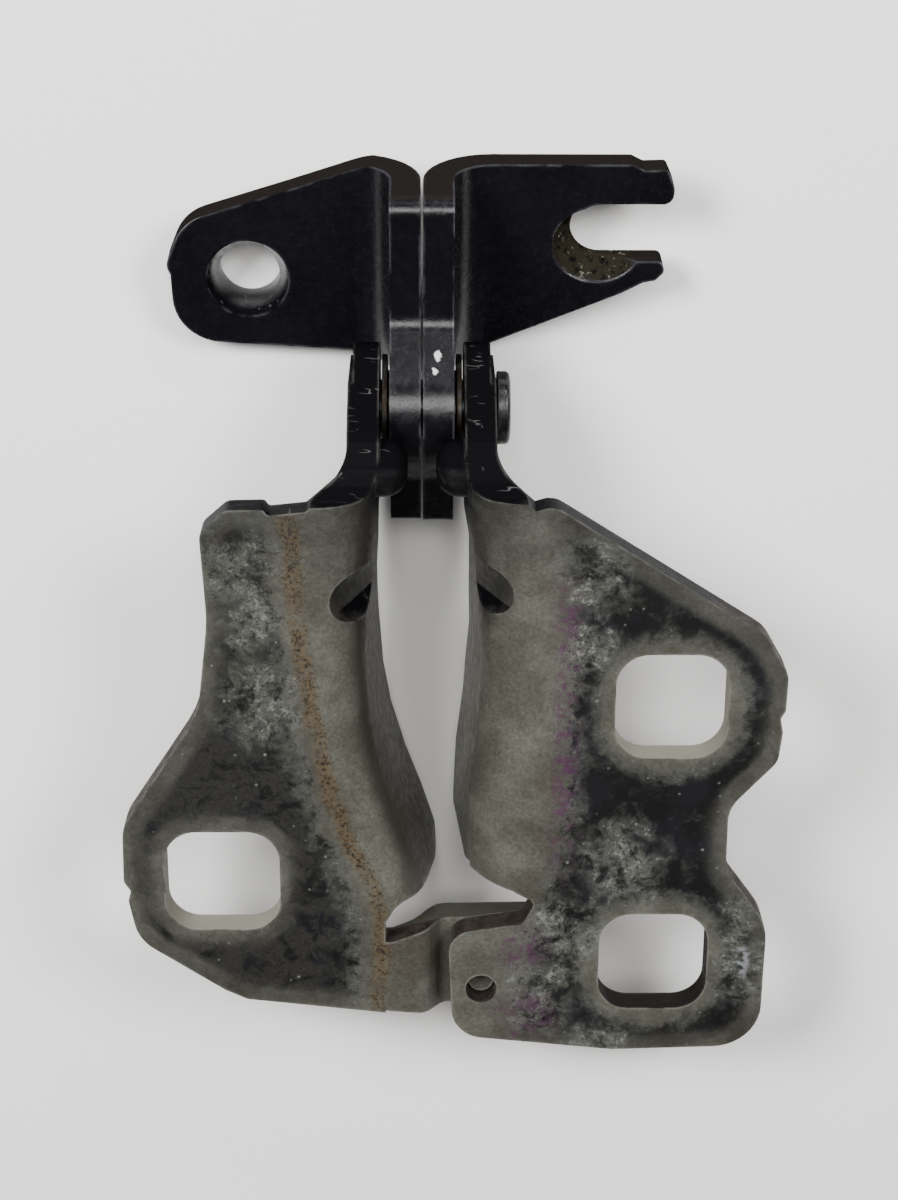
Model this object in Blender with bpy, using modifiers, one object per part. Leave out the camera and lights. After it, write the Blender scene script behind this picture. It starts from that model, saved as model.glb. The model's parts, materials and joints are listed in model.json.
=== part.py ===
"""Lift-up closure hinge: two pressed body brackets, two pressed lid arms, one riveted pin.

X runs along the pin, Y runs from the body brackets towards the lid arms, and Z stands square
on the body brackets' mounting faces. The origin is on the right bracket's mounting face,
midway between its two bolt holes. The pieces are drawn about the middle of the pin, and an
empty on the pin's axis carries them all to their places.
"""
import math

import bmesh
import bpy
from mathutils import Matrix, Vector

MM = 0.001

# Sheet and running gaps, in millimetres
SHEET = 4.0                     # thickness of all four pressings
GAP = 0.3                       # air between pieces that touch
ARM_GAP = 0.15                  # half of the air between the two arm webs

# Pivot
PIN_RADIUS = 3.7
BUSH_INNER = PIN_RADIUS + GAP
BUSH_WALL = 0.9
BUSH_FLANGE = 0.7
BUSH_FLANGE_RADIUS = 7.0
BUSH_LIP_END = 0.45             # how far the bush stops short of the web's back
EYE_RADIUS = 8.3                # rounded ends of ears and webs round the pin
HEAD_RADIUS = 4.8
HEAD_THICKNESS = 1.75
TAIL_CONE_RADIUS = 4.9          # formed-over end of the pin in its countersink
TAIL_CONE_DEPTH = 1.3

# Stations across the hinge, from the middle plane outwards
WEB_IN = ARM_GAP
WEB_OUT = ARM_GAP + SHEET
EAR_IN = WEB_OUT + GAP + BUSH_FLANGE + GAP
EAR_OUT = EAR_IN + SHEET
EAR_TIP_STEP = 0.6              # coined step on the outside of each ear's tip

# Body brackets
FACE_Z = 20.0                   # mounting face above the pin axis
RIM_Z = -4.6                    # lower rim of the long walls
SQUARE_HOLE = 14.6              # adjusting holes, across the flats
SQUARE_CORNER = 4.3
STOP_RADIUS = 3.7               # pressed stop inside each bracket
STOP_Y = -4.3
STOP_Z = 11.9
STOP_END = 1.8                  # stops end this far from the middle plane
STOP_CROWN = 2.9                # radius that rounds a stop's end
LEFT_DART_Y = -20.1             # middle of the pressed dart across the left bend
RIGHT_DART_Y = -19.2            # and across the right one
DART_RADIUS = 3.8               # of the round bar that presses it
DART_DEPTH = 2.2                # of the hollow in the face of the bend
DART_BULGE = 2.2                # how far the dart stands out behind the bend
DART_ANGLE = math.radians(70.0)  # where round the bend it is deepest
LOCATOR = (8.0, -75.9)          # dowel of the left bracket in the right bracket's hole
LOCATOR_HOLE_RADIUS = 2.1
LOCATOR_RADIUS = 1.75
TAB_TOP = FACE_Z - SHEET - GAP  # the tab passes one sheet below the mounting face
LEFT_HOLE = (-26.4, -59.3)
UPPER_HOLE = (32.2, -34.0)
LOWER_HOLE = (31.1, -71.7)

# Lid arms, in their own frame: V along the flange, W square to it
ARM_TILT = math.radians(10.0)
ARM_FACE_W = -14.0
ARM_BEND = 5.2                  # inner bend radius
ARM_TOP_V = 28.1
ARM_EDGE_W = -1.6
BOLT_HOLE = (-23.2, 12.0)
BOLT_RADIUS = 4.1
BOLT_FLARE_RADIUS = 5.45
BOLT_FLARE_DEPTH = 2.3
COLLAR_HEIGHT = 2.2             # rolled collar behind the round hole
COLLAR_RADIUS = 5.2
SLOT_END = (23.75, 18.65)       # middle of the slot's round end
SLOT_RADIUS = 4.05
SLOT_FLARE = (23.2, 16.9)       # the flare at the slot leans towards the pin
SLOT_FLARE_HALF = (6.0, 5.35)
SLOT_FLARE_DEPTH = 2.8

ARC_STEP = math.radians(9.0)    # angle of one facet on a rounded corner
CIRCLE_SIDES = 56


# ---------------------------------------------------------------- scene and collections

def clear_scene():
    for obj in list(bpy.data.objects):
        bpy.data.objects.remove(obj, do_unlink=True)


def new_collection(name):
    collection = bpy.data.collections.new(name)
    bpy.context.scene.collection.children.link(collection)
    return collection


def new_pin_axis():
    """The empty in the middle of the pin, which every piece hangs from."""
    axis = bpy.data.objects.new("pin_axis", None)
    PARTS.objects.link(axis)
    axis.location = (-(UPPER_HOLE[0] + LOWER_HOLE[0]) / 2.0 * MM,
                     -(UPPER_HOLE[1] + LOWER_HOLE[1]) / 2.0 * MM, -FACE_Z * MM)
    axis.empty_display_size = 0.01
    return axis


clear_scene()
PARTS = new_collection("closure_hinge")
CUTTERS = new_collection("cutters")
PIN_AXIS = new_pin_axis()


def new_object(name, mesh, matrix=None):
    """A temporary solid: it joins or cuts a part and is then taken away."""
    obj = bpy.data.objects.new(name, mesh)
    CUTTERS.objects.link(obj)
    obj.hide_render = True
    obj.display_type = "WIRE"
    if matrix is not None:
        obj.matrix_world = matrix
    return obj


# ---------------------------------------------------------------- outlines

def rounded(corners):
    """Corner points (a, b, radius) of a closed outline become points with true arcs."""
    points = []
    count = len(corners)
    for i in range(count):
        before = Vector(corners[i - 1][:2])
        corner = Vector(corners[i][:2])
        after = Vector(corners[(i + 1) % count][:2])
        radius = corners[i][2]
        if radius <= 0.0:
            points.append(tuple(corner))
            continue
        to_before = (before - corner).normalized()
        to_after = (after - corner).normalized()
        half = to_before.angle(to_after) / 2.0
        reach = radius / math.tan(half)
        centre = corner + (to_before + to_after).normalized() * (radius / math.sin(half))
        start = corner + to_before * reach - centre
        sweep = math.pi - 2.0 * half
        turn = 1.0 if to_before.cross(to_after) < 0.0 else -1.0
        steps = max(2, math.ceil(sweep / ARC_STEP))
        for k in range(steps + 1):
            angle = turn * sweep * k / steps
            arm = Matrix.Rotation(angle, 2) @ start
            points.append(tuple(centre + arm))
    return points


def oval(x, y, half_x, half_y, sides=CIRCLE_SIDES):
    angles = [2.0 * math.pi * k / sides for k in range(sides)]
    return [(x + half_x * math.cos(a), y + half_y * math.sin(a)) for a in angles]


def circle(x, y, radius, sides=CIRCLE_SIDES):
    return oval(x, y, radius, radius, sides)


def square_hole(x, y, width, height, corner):
    w = width / 2.0
    h = height / 2.0
    return rounded([(x - w, y - h, corner), (x + w, y - h, corner),
                    (x + w, y + h, corner), (x - w, y + h, corner)])


# ---------------------------------------------------------------- solids

# How an outline (a, b) and its depth lie in space: columns are the a, b and depth axes
ALONG_Z = Matrix.Identity(3)
ALONG_X = Matrix(((0, 0, 1), (1, 0, 0), (0, 1, 0)))
ALONG_Y = Matrix(((1, 0, 0), (0, 0, -1), (0, 1, 0)))


def prism(name, loops, low, high, axes):
    """A flat outline with holes, extruded from low to high along the axes' third column."""
    curve = bpy.data.curves.new(name, "CURVE")
    curve.dimensions = "2D"
    curve.fill_mode = "BOTH"
    curve.extrude = (high - low) / 2.0 * MM
    for loop in loops:
        spline = curve.splines.new("POLY")
        spline.points.add(len(loop) - 1)
        for point, (a, b) in zip(spline.points, loop):
            point.co = (a * MM, b * MM, 0.0, 1.0)
        spline.use_cyclic_u = True
    shape = bpy.data.objects.new(name + "_curve", curve)
    CUTTERS.objects.link(shape)
    middle = (high + low) / 2.0 * MM
    shape.matrix_world = Matrix.Translation(axes.col[2] * middle) @ axes.to_4x4()
    bpy.context.view_layer.update()
    depsgraph = bpy.context.evaluated_depsgraph_get()
    mesh = bpy.data.meshes.new_from_object(shape.evaluated_get(depsgraph))
    matrix = shape.matrix_world.copy()
    bpy.data.objects.remove(shape, do_unlink=True)
    bm = bmesh.new()
    bm.from_mesh(mesh)
    bmesh.ops.remove_doubles(bm, verts=bm.verts, dist=0.000005)
    bmesh.ops.recalc_face_normals(bm, faces=bm.faces)
    bm.to_mesh(mesh)
    bm.free()
    return new_object(name, mesh, matrix)


def taper(name, low_loop, high_loop, low, high):
    """A loft along Z between two outlines with the same number of points."""
    bm = bmesh.new()
    rings = []
    for loop, z in ((low_loop, low), (high_loop, high)):
        rings.append([bm.verts.new((a * MM, b * MM, z * MM)) for a, b in loop])
    count = len(low_loop)
    for i in range(count):
        j = (i + 1) % count
        bm.faces.new((rings[0][i], rings[0][j], rings[1][j], rings[1][i]))
    bm.faces.new(rings[0])
    bm.faces.new(rings[1])
    bmesh.ops.recalc_face_normals(bm, faces=bm.faces)
    mesh = bpy.data.meshes.new(name)
    bm.to_mesh(mesh)
    bm.free()
    return new_object(name, mesh)


def turned(name, profile, sides=CIRCLE_SIDES):
    """A profile of (radius, position) pairs, turned about the X axis with a Screw."""
    mesh = bpy.data.meshes.new(name)
    closed = profile[0] == profile[-1]
    stops = profile[:-1] if closed else profile
    points = [(radius * MM, 0.0, -position * MM) for radius, position in stops]
    edges = [(i, i + 1) for i in range(len(points) - 1)]
    if closed:
        edges.append((len(points) - 1, 0))
    mesh.from_pydata(points, edges, [])
    obj = new_object(name, mesh)
    screw = obj.modifiers.new("Turn", "SCREW")
    screw.axis = "Z"
    screw.steps = sides
    screw.render_steps = sides
    screw.use_merge_vertices = True
    screw.merge_threshold = 0.000005
    apply_modifiers(obj)
    spin = Matrix.Rotation(math.radians(-90.0), 4, "Y")
    obj.data.transform(spin)
    fix_normals(obj)
    return obj


def fix_normals(obj):
    bm = bmesh.new()
    bm.from_mesh(obj.data)
    bmesh.ops.recalc_face_normals(bm, faces=bm.faces)
    bm.to_mesh(obj.data)
    bm.free()


def formed_sheet(name, side, stations, far_edge, wall_end, rising, thickness=SHEET):
    """A pressed sheet: a flat flange, a bend and a wall, lofted along Y.

    side is -1 for a flange on the left and +1 for one on the right. Each station is
    (y, fold, level, radius, draft): where the flange ends, its face height, the bend's
    radius on the face side, and the wall's lean in degrees. A rising wall stands up from
    the face; the others turn down from it.
    """
    rise = 1.0 if rising else -1.0
    bend_steps = 9
    bm = bmesh.new()
    rows = []
    for y, fold, level, radius, draft in sorted(stations):
        sweep = math.radians(90.0 - draft)
        section = [(far_edge, level), (fold, level)]
        for k in range(1, bend_steps + 1):
            angle = sweep * k / bend_steps
            section.append((fold - radius * math.sin(angle),
                            level + rise * radius * (1.0 - math.cos(angle))))
        x_end, z_end = section[-1]
        run = abs(wall_end - z_end)
        section.append((x_end - run * math.tan(math.radians(draft)), wall_end))
        rows.append([bm.verts.new((side * x * MM, y * MM, z * MM)) for x, z in section])
    for low, high in zip(rows, rows[1:]):
        for i in range(len(low) - 1):
            quad = (low[i], low[i + 1], high[i + 1], high[i])
            face = bm.faces.new(quad if side < 0 else tuple(reversed(quad)))
            face.smooth = False
    mesh = bpy.data.meshes.new(name)
    bm.to_mesh(mesh)
    bm.free()
    obj = new_object(name, mesh)
    solidify = obj.modifiers.new("Sheet", "SOLIDIFY")
    solidify.thickness = thickness * MM
    solidify.offset = -1.0
    solidify.use_even_offset = True
    apply_modifiers(obj)
    return obj


def apply_modifiers(obj):
    bpy.context.view_layer.update()
    depsgraph = bpy.context.evaluated_depsgraph_get()
    mesh = bpy.data.meshes.new_from_object(obj.evaluated_get(depsgraph))
    obj.modifiers.clear()
    obj.data = mesh


def combine(target, other, operation):
    """Join, cut or keep the overlap with another solid, which is then removed."""
    modifier = target.modifiers.new(operation.title(), "BOOLEAN")
    modifier.operation = operation
    modifier.solver = "EXACT"
    modifier.object = other
    apply_modifiers(target)
    bpy.data.objects.remove(other, do_unlink=True)


def finish(obj, material, angle=30.0):
    """Clean the mesh, shade it and hand it to the parts collection."""
    bm = bmesh.new()
    bm.from_mesh(obj.data)
    bmesh.ops.remove_doubles(bm, verts=bm.verts, dist=0.000004)
    bmesh.ops.dissolve_degenerate(bm, edges=bm.edges, dist=0.000002)
    bmesh.ops.triangulate(bm, faces=bm.faces)
    bm.to_mesh(obj.data)
    bm.free()
    obj.data.shade_smooth()
    obj.data.set_sharp_from_angle(angle=math.radians(angle))
    obj.data.materials.clear()
    obj.data.materials.append(material)
    obj.hide_render = False
    obj.display_type = "TEXTURED"
    CUTTERS.objects.unlink(obj)
    PARTS.objects.link(obj)
    obj.parent = PIN_AXIS


# ---------------------------------------------------------------- materials

def material(name, colour, roughness, metallic):
    mat = bpy.data.materials.new(name)
    mat.use_nodes = True
    shader = mat.node_tree.nodes["Principled BSDF"]
    shader.inputs["Base Color"].default_value = (*colour, 1.0)
    shader.inputs["Roughness"].default_value = roughness
    shader.inputs["Metallic"].default_value = metallic
    return mat


def olive_primer():
    return material("olive_primer", (0.16, 0.16, 0.13), 0.55, 0.1)


def black_paint():
    return material("black_paint", (0.012, 0.012, 0.015), 0.28, 0.0)


def pin_steel():
    return material("pin_steel", (0.05, 0.05, 0.055), 0.4, 0.6)


def bush_bronze():
    return material("bush_bronze", (0.18, 0.12, 0.07), 0.45, 0.8)


# ---------------------------------------------------------------- body brackets

LEFT_FLANGE = [
    (-24.4, -7.2, 1.6), (-19.7, -7.1, 0.6), (-19.2, -7.9, 0.6), (-14.5, -7.4, 0.0),
    (-10.6, -4.0, 4.0), (-9.6, 2.0, 0.0), (-9.6, 12.0, 0.0), (10.0, 12.0, 0.0),
    (10.0, -69.0, 0.0), (0.9, -69.0, 0.0), (0.4, -62.6, 0.8), (-3.2, -63.0, 2.5),
    (-4.9, -65.8, 0.8), (-4.9, -79.6, 0.0), (-23.6, -77.4, 2.0), (-26.5, -76.0, 4.0),
    (-37.9, -68.2, 6.0), (-39.0, -62.2, 1.0), (-38.6, -60.8, 0.5), (-39.5, -59.4, 1.5),
    (-39.3, -51.2, 6.0), (-28.8, -35.0, 13.0), (-27.2, -22.0, 20.0), (-27.8, -10.2, 2.0),
]

RIGHT_FLANGE = [
    (14.2, -7.3, 0.0), (16.5, -6.6, 3.0), (43.9, -24.1, 5.0), (47.0, -29.5, 4.0),
    (46.9, -34.6, 0.8), (46.3, -35.6, 0.8), (46.7, -37.6, 1.0), (46.3, -41.8, 3.0),
    (40.2, -48.6, 5.0), (40.3, -57.8, 6.0), (46.2, -65.9, 8.0), (46.1, -84.9, 6.5),
    (26.0, -85.5, 0.0), (4.2, -83.2, 4.5), (3.5, -67.4, 3.4), (13.4, -65.9, 1.2),
    (15.2, -62.6, 1.0), (12.0, -61.0, 3.0), (5.6, -59.4, 0.0), (-8.0, -62.4, 0.0),
    (-8.0, 12.0, 0.0), (9.6, 12.0, 0.0), (9.6, 2.0, 0.0), (10.6, -4.0, 4.0),
]

LEFT_STATIONS = [
    (14.0, 10.65, FACE_Z, 5.2, 0.0), (-1.0, 10.65, FACE_Z, 5.2, 0.0),
    (-5.0, 12.25, FACE_Z, 6.8, 0.0), (-9.0, 15.35, FACE_Z, 9.9, 0.0),
    (-20.0, 15.5, FACE_Z, 8.6, 3.0), (-30.0, 14.9, FACE_Z, 7.6, 4.5),
    (-38.0, 13.7, FACE_Z, 6.9, 4.5), (-44.0, 12.2, FACE_Z, 6.4, 4.5),
    (-51.0, 10.0, FACE_Z, 6.2, 4.5), (-57.0, 7.6, FACE_Z, 6.0, 4.5),
    (-63.0, 5.6, FACE_Z, 5.9, 4.5), (-70.0, 4.6, FACE_Z, 5.8, 4.5),
    (-90.0, 4.6, FACE_Z, 5.8, 4.5),
]

RIGHT_STATIONS = [
    (14.0, 10.65, FACE_Z, 5.2, 0.0), (-1.0, 10.65, FACE_Z, 5.2, 0.0),
    (-5.0, 12.25, FACE_Z, 6.8, 0.0), (-9.0, 15.35, FACE_Z, 9.9, 0.0),
    (-20.0, 15.7, FACE_Z, 8.3, 3.0), (-32.0, 15.5, FACE_Z, 7.8, 4.0),
    (-42.0, 15.0, FACE_Z, 7.9, 4.5), (-50.0, 14.4, FACE_Z, 8.3, 4.5),
    (-62.8, 14.0, FACE_Z, 8.4, 4.5), (-65.2, -6.0, FACE_Z, 8.4, 4.5),
    (-90.0, -6.0, FACE_Z, 8.4, 4.5),
]


def side_outline(top_edge, foot_low, foot_high):
    """Outline in (y, z) of a bracket seen along the pin: flange, wall and ear."""
    over = FACE_Z + 1.0
    under = FACE_Z - SHEET - 1.0
    reach = EYE_RADIUS / math.cos(math.radians(60.0))
    facing = math.radians(-25.0)
    return rounded([
        (-95.0, over, 0.0), (top_edge, over, 0.0), (top_edge, 16.4, 2.0), (0.6, 14.4, 2.0),
        (reach * math.cos(facing), reach * math.sin(facing), EYE_RADIUS),
        (-12.0, -9.4, 8.0), (-26.0, RIM_Z, 12.0),
        (foot_low, RIM_Z, 4.5), (foot_high, under, 0.0), (-95.0, under, 0.0),
    ])


def ear_cutters(side):
    """The pin bore and the coined step on the outside of the ear's tip."""
    bore = prism("bore", [circle(0.0, 0.0, PIN_RADIUS + GAP)], 0.0, 30.0, ALONG_X)
    step = prism("step", [[(5.3, -12.0), (12.0, -12.0), (12.0, 12.0), (5.3, 12.0)]],
                 EAR_OUT - EAR_TIP_STEP, EAR_OUT + 4.0, ALONG_X)
    if side < 0:
        for cutter in (bore, step):
            mirror_x(cutter)
    return bore, step


def mirror_x(obj):
    obj.data.transform(obj.matrix_world)
    obj.matrix_world = Matrix.Identity(4)
    obj.data.transform(Matrix.Scale(-1.0, 4, Vector((1.0, 0.0, 0.0))))
    obj.data.flip_normals()


def stop_boss(side):
    """A pressed stop with a rounded end, standing inwards in front of the arm webs."""
    root = EAR_OUT - 0.1
    flat = STOP_RADIUS - STOP_CROWN
    profile = [(0.0, STOP_END)]
    for k in range(8):
        angle = math.radians(90.0 - 90.0 * k / 7)
        profile.append((flat + STOP_CROWN * math.cos(angle),
                        STOP_END + STOP_CROWN * (1.0 - math.sin(angle))))
    profile += [(STOP_RADIUS, root), (0.0, root)]
    boss = turned("stop", profile, 36)
    boss.data.transform(Matrix.Translation((0.0, STOP_Y * MM, STOP_Z * MM)))
    if side < 0:
        mirror_x(boss)
    return boss


def dart_tool(name, side, place_y, fold, radius, reach):
    """A round bar laid across the bend, square to DART_ANGLE, for the pressed dart."""
    bar = turned(name, [(0.0, -12.0), (reach, -12.0), (reach, 12.0), (0.0, 12.0)], 44)
    stand_off = radius + DART_RADIUS - DART_DEPTH
    centre_x = fold - stand_off * math.sin(DART_ANGLE)
    centre_z = FACE_Z - radius + stand_off * math.cos(DART_ANGLE)
    bar.data.transform(Matrix.Rotation(-DART_ANGLE, 4, "Y"))
    bar.data.transform(Matrix.Translation((centre_x * MM, place_y * MM, centre_z * MM)))
    if side < 0:
        mirror_x(bar)
    return bar


def bracket_shell(name, side, flange, holes, stations, outline):
    """The pressed sheet of one bracket, trimmed to its outline from above and aside."""
    sheet = formed_sheet(name, side, stations, 60.0, -16.0, rising=False)
    plan = prism("plan", [rounded(flange)] + holes, -30.0, 30.0, ALONG_Z)
    profile = prism("profile", [outline], -70.0, 70.0, ALONG_X)
    combine(sheet, plan, "INTERSECT")
    combine(sheet, profile, "INTERSECT")
    return sheet


def add_dart(bracket, side, place_y, stations):
    """A pressed dart: thicker behind the bend, hollow in front of it."""
    fold = 15.6
    radius = 8.4
    skin = 1.0
    behind = DART_RADIUS - DART_DEPTH + SHEET + DART_BULGE
    inner = [(y, at, level - skin, bend - skin, draft) for y, at, level, bend, draft in stations]
    rib = formed_sheet("rib", side, inner, 60.0, -16.0, rising=False,
                       thickness=SHEET - skin + DART_BULGE)
    combine(rib, dart_tool("rib_bar", side, place_y, fold, radius, behind), "INTERSECT")
    combine(bracket, rib, "UNION")
    combine(bracket, dart_tool("pocket_bar", side, place_y, fold, radius, DART_RADIUS), "DIFFERENCE")


def make_body_bracket_left(paint):
    hole = square_hole(*LEFT_HOLE, SQUARE_HOLE + 0.6, SQUARE_HOLE, SQUARE_CORNER)
    bracket = bracket_shell("body_bracket_left", -1, LEFT_FLANGE, [hole], LEFT_STATIONS,
                            side_outline(-6.9, -67.6, -63.0))
    add_dart(bracket, -1, LEFT_DART_Y, LEFT_STATIONS)
    combine(bracket, tab(), "UNION")
    combine(bracket, stop_boss(-1), "UNION")
    dowel = prism("dowel", [circle(*LOCATOR, LOCATOR_RADIUS, 32)],
                  TAB_TOP - 0.5, TAB_TOP + 1.8, ALONG_Z)
    combine(bracket, dowel, "UNION")
    for cutter in ear_cutters(-1):
        combine(bracket, cutter, "DIFFERENCE")
    sink = turned("sink", [(0.0, EAR_OUT - TAIL_CONE_DEPTH - GAP),
                           (PIN_RADIUS + GAP, EAR_OUT - TAIL_CONE_DEPTH - GAP),
                           (TAIL_CONE_RADIUS + GAP, EAR_OUT + 0.01),
                           (TAIL_CONE_RADIUS + GAP, EAR_OUT + 2.0),
                           (0.0, EAR_OUT + 2.0)])
    mirror_x(sink)
    combine(bracket, sink, "DIFFERENCE")
    finish(bracket, paint)


def tab():
    """The low tab of the left bracket, stepped down to pass under the right one."""
    sink = 0.05                 # the root lies this far inside the flange's own faces
    top = FACE_Z - sink
    back = FACE_Z - SHEET + sink
    section = rounded([
        (-9.0, top, 0.0), (-4.4, top, 3.0), (0.6, FACE_Z - 1.3, 3.0),
        (2.9, TAB_TOP, 2.0), (21.0, TAB_TOP, 0.0), (21.0, TAB_TOP - SHEET, 0.0),
        (1.4, TAB_TOP - SHEET, 4.0), (-0.6, FACE_Z - SHEET - 1.3, 4.0),
        (-5.2, back, 4.0), (-9.0, back, 0.0),
    ])
    strip = prism("tab", [section], 60.0, 90.0, ALONG_Y)
    plan = prism("tab_plan", [rounded([
        (-9.5, -68.0, 0.0), (-4.0, -68.8, 1.5), (2.0, -67.3, 6.0),
        (20.6, -67.0, 4.5), (20.6, -80.8, 4.5), (0.0, -80.4, 4.0), (-9.5, -78.2, 0.0),
    ])], 0.0, 40.0, ALONG_Z)
    combine(strip, plan, "INTERSECT")
    return strip


def make_body_bracket_right(paint):
    holes = [square_hole(*UPPER_HOLE, SQUARE_HOLE, SQUARE_HOLE, SQUARE_CORNER),
             square_hole(*LOWER_HOLE, SQUARE_HOLE, SQUARE_HOLE, SQUARE_CORNER),
             circle(*LOCATOR, LOCATOR_HOLE_RADIUS, 36)]
    bracket = bracket_shell("body_bracket_right", 1, RIGHT_FLANGE, holes, RIGHT_STATIONS,
                            side_outline(-6.4, -62.6, -59.0))
    add_dart(bracket, 1, RIGHT_DART_Y, RIGHT_STATIONS)
    combine(bracket, stop_boss(1), "UNION")
    for cutter in ear_cutters(1):
        combine(bracket, cutter, "DIFFERENCE")
    finish(bracket, paint)


# ---------------------------------------------------------------- lid arms

LEFT_ARM_FLANGE = [
    (-6.5, 28.1, 2.0), (-8.0, 27.7, 1.5), (-17.6, 24.5, 0.0), (-31.6, 20.0, 6.5),
    (-34.1, 13.9, 2.0), (-33.5, 12.6, 0.6), (-33.3, 3.2, 6.5), (-8.5, 1.6, 0.0),
    (-8.5, -20.0, 0.0), (5.0, -20.0, 0.0), (5.0, 28.3, 0.0),
]

RIGHT_ARM_FLANGE = [
    (5.0, 28.3, 0.0), (27.1, 28.3, 1.2), (29.0, 27.3, 1.0), (32.0, 27.4, 0.6),
    (33.1, 25.0, 2.0), (32.9, SLOT_END[1] + SLOT_RADIUS, 1.3),
    (SLOT_END[0] - SLOT_RADIUS, SLOT_END[1] + SLOT_RADIUS, SLOT_RADIUS - 0.01),
    (SLOT_END[0] - SLOT_RADIUS, SLOT_END[1] - SLOT_RADIUS, SLOT_RADIUS - 0.01),
    (31.9, SLOT_END[1] - SLOT_RADIUS, 0.9), (32.4, 13.2, 0.9), (31.2, 11.9, 1.0),
    (29.6, 11.6, 1.0), (26.8, 10.1, 0.0), (24.4, 9.1, 0.0), (8.5, 2.4, 0.0),
    (8.5, -20.0, 0.0), (-5.0, -20.0, 0.0), (-5.0, 28.3, 0.0),
]

ARM_STATIONS = [
    (-21.0, WEB_OUT + ARM_BEND, ARM_FACE_W, ARM_BEND, 0.0),
    (34.0, WEB_OUT + ARM_BEND, ARM_FACE_W, ARM_BEND, 0.0),
]


def web_outline(tail_end):
    """Outline in (v, w) of an arm seen along the pin: flange, web, eye and tail."""
    under = ARM_FACE_W - SHEET - 1.0
    near = EYE_RADIUS / math.cos(math.radians(45.0))
    near_dir = math.radians(80.0)
    return rounded([
        (ARM_TOP_V, under, 0.0), (ARM_TOP_V, ARM_EDGE_W, 2.4), (11.3, ARM_EDGE_W, 3.0),
        (near * math.cos(near_dir), near * math.sin(near_dir), EYE_RADIUS),
        (-8.2, 4.3, 3.5), (-15.6, 2.2, 1.0), (tail_end, -1.0, 0.5), (-15.0, -4.6, 2.0),
        (-7.0, -8.4, 8.0), (1.0, -8.6, 2.0), (1.0, under, 0.0),
    ])


def arm_shell(name, side, flange, tail_end):
    sheet = formed_sheet(name, side, ARM_STATIONS, 60.0, 14.0, rising=True)
    plan = prism("plan", [rounded(flange)], -30.0, 30.0, ALONG_Z)
    profile = prism("profile", [web_outline(tail_end)], -70.0, 70.0, ALONG_X)
    combine(sheet, plan, "INTERSECT")
    combine(sheet, profile, "INTERSECT")
    bore = prism("bore", [circle(0.0, 0.0, BUSH_INNER + BUSH_WALL + GAP)], -10.0, 10.0, ALONG_X)
    combine(sheet, bore, "DIFFERENCE")
    return sheet


def tilt_arm(arm):
    """The arm hangs on the pin axis, turned from the body brackets' frame by its tilt."""
    arm.rotation_euler = (ARM_TILT, 0.0, 0.0)


def make_lid_arm_left(paint):
    """The left arm, whose round hole is rolled through into a collar behind the flange."""
    arm = arm_shell("lid_arm_left", -1, LEFT_ARM_FLANGE, -16.2)
    back = ARM_FACE_W - SHEET
    collar = taper("collar", circle(*BOLT_HOLE, COLLAR_RADIUS), circle(*BOLT_HOLE, COLLAR_RADIUS + 0.8),
                   back - COLLAR_HEIGHT, back + 1.0)
    combine(arm, collar, "UNION")
    hole = prism("hole", [circle(*BOLT_HOLE, BOLT_RADIUS)], -30.0, 0.0, ALONG_Z)
    combine(arm, hole, "DIFFERENCE")
    flare = taper("flare", circle(*BOLT_HOLE, BOLT_RADIUS), circle(*BOLT_HOLE, BOLT_FLARE_RADIUS),
                  ARM_FACE_W - BOLT_FLARE_DEPTH, ARM_FACE_W + 0.01)
    combine(arm, flare, "DIFFERENCE")
    tilt_arm(arm)
    finish(arm, paint)


def make_lid_arm_right(paint):
    """The right arm, whose slot opens outwards and is flared on its side towards the pin."""
    arm = arm_shell("lid_arm_right", 1, RIGHT_ARM_FLANGE, -17.5)
    flare = taper("flare", circle(*SLOT_END, SLOT_RADIUS - 0.03), oval(*SLOT_FLARE, *SLOT_FLARE_HALF),
                  ARM_FACE_W - SLOT_FLARE_DEPTH, ARM_FACE_W + 0.01)
    combine(arm, flare, "DIFFERENCE")
    tilt_arm(arm)
    finish(arm, paint)


# ---------------------------------------------------------------- pin and bushes

def make_pivot_pin(steel):
    """A rivet: flat head outside the right ear, its far end spread flush in the left ear."""
    head_start = EAR_OUT + GAP
    head_end = head_start + HEAD_THICKNESS
    edge = 0.6
    tail = -(EAR_OUT - 0.05)
    pin = turned("pivot_pin", [
        (0.0, tail), (TAIL_CONE_RADIUS, tail),
        (PIN_RADIUS, tail + TAIL_CONE_DEPTH), (PIN_RADIUS, head_start),
        (HEAD_RADIUS, head_start), (HEAD_RADIUS, head_end - edge),
        (HEAD_RADIUS - edge * 0.3, head_end - edge * 0.3), (HEAD_RADIUS - edge, head_end),
        (0.0, head_end),
    ])
    finish(pin, steel)


def make_pivot_bush(name, side, bronze):
    """A plain bush in the arm's eye, whose flange runs against the ear."""
    flange_in = WEB_OUT + GAP
    flange_out = flange_in + BUSH_FLANGE
    bush = turned(name, [
        (BUSH_INNER, WEB_IN + BUSH_LIP_END), (BUSH_INNER + BUSH_WALL, WEB_IN + BUSH_LIP_END),
        (BUSH_INNER + BUSH_WALL, flange_in), (BUSH_FLANGE_RADIUS, flange_in),
        (BUSH_FLANGE_RADIUS, flange_out), (BUSH_INNER, flange_out),
        (BUSH_INNER, WEB_IN + BUSH_LIP_END),
    ], 48)
    if side < 0:
        mirror_x(bush)
    finish(bush, bronze)


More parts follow.
